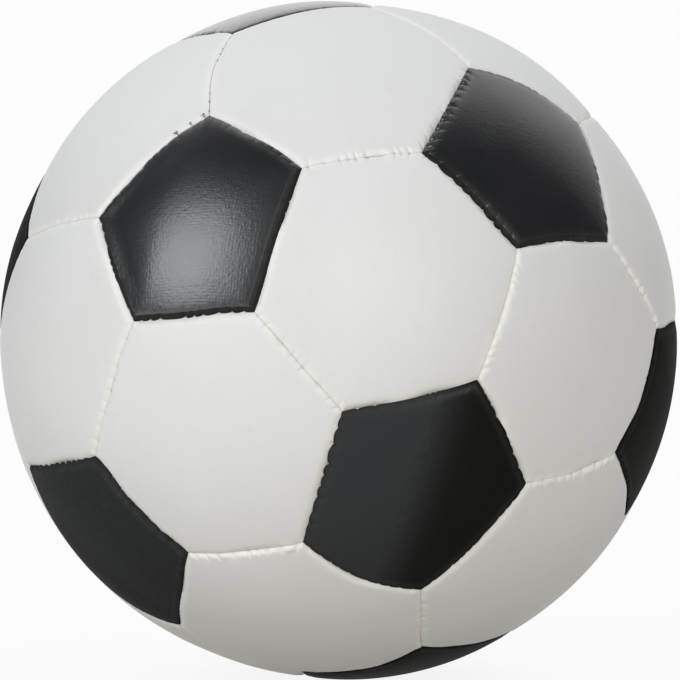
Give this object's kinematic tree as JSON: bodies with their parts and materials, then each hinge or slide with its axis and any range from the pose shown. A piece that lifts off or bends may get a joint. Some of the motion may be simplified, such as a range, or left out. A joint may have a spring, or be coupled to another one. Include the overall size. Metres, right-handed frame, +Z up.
{
  "type": "foam soccer ball",
  "caption": "Soft play ball with a foam core and a hand-sewn vinyl cover of black pentagons and white hexagons.",
  "frame": {"origin": "centre of the ball", "axes": "+Z up as the ball lies, -Z towards the ground at its rest flat, -Y towards the viewer of the picture, +X to that viewer's right"},
  "size_m": [0.1495, 0.1498, 0.1495],
  "materials": {
    "white_vinyl": "smooth satin vinyl",
    "black_vinyl": "satin vinyl with its backing's weave showing through",
    "sewing_thread": "dull twisted thread",
    "foam": "open-cell foam"
  },
  "bodies": {
    "root": {"black_pentagon_01": "black_vinyl", "black_pentagon_02": "black_vinyl", "black_pentagon_03": "black_vinyl", "black_pentagon_04": "black_vinyl", "black_pentagon_05": "black_vinyl", "black_pentagon_06": "black_vinyl", "black_pentagon_07": "black_vinyl", "black_pentagon_08": "black_vinyl", "black_pentagon_09": "black_vinyl", "black_pentagon_10": "black_vinyl", "black_pentagon_11": "black_vinyl", "black_pentagon_12": "black_vinyl", "white_hexagon_01": "white_vinyl", "white_hexagon_02": "white_vinyl", "white_hexagon_03": "white_vinyl", "white_hexagon_04": "white_vinyl", "white_hexagon_05": "white_vinyl", "white_hexagon_06": "white_vinyl", "white_hexagon_07": "white_vinyl", "white_hexagon_08": "white_vinyl", "white_hexagon_09": "white_vinyl", "white_hexagon_10": "white_vinyl", "white_hexagon_11": "white_vinyl", "white_hexagon_12": "white_vinyl", "white_hexagon_13": "white_vinyl", "white_hexagon_14": "white_vinyl", "white_hexagon_15": "white_vinyl", "white_hexagon_16": "white_vinyl", "white_hexagon_17": "white_vinyl", "white_hexagon_18": "white_vinyl", "white_hexagon_19": "white_vinyl", "white_hexagon_20": "white_vinyl", "first_half_thread": "sewing_thread", "second_half_thread": "sewing_thread", "joining_thread": "sewing_thread", "closing_thread": "sewing_thread", "foam_core": "foam"}
  },
  "joints": []
}
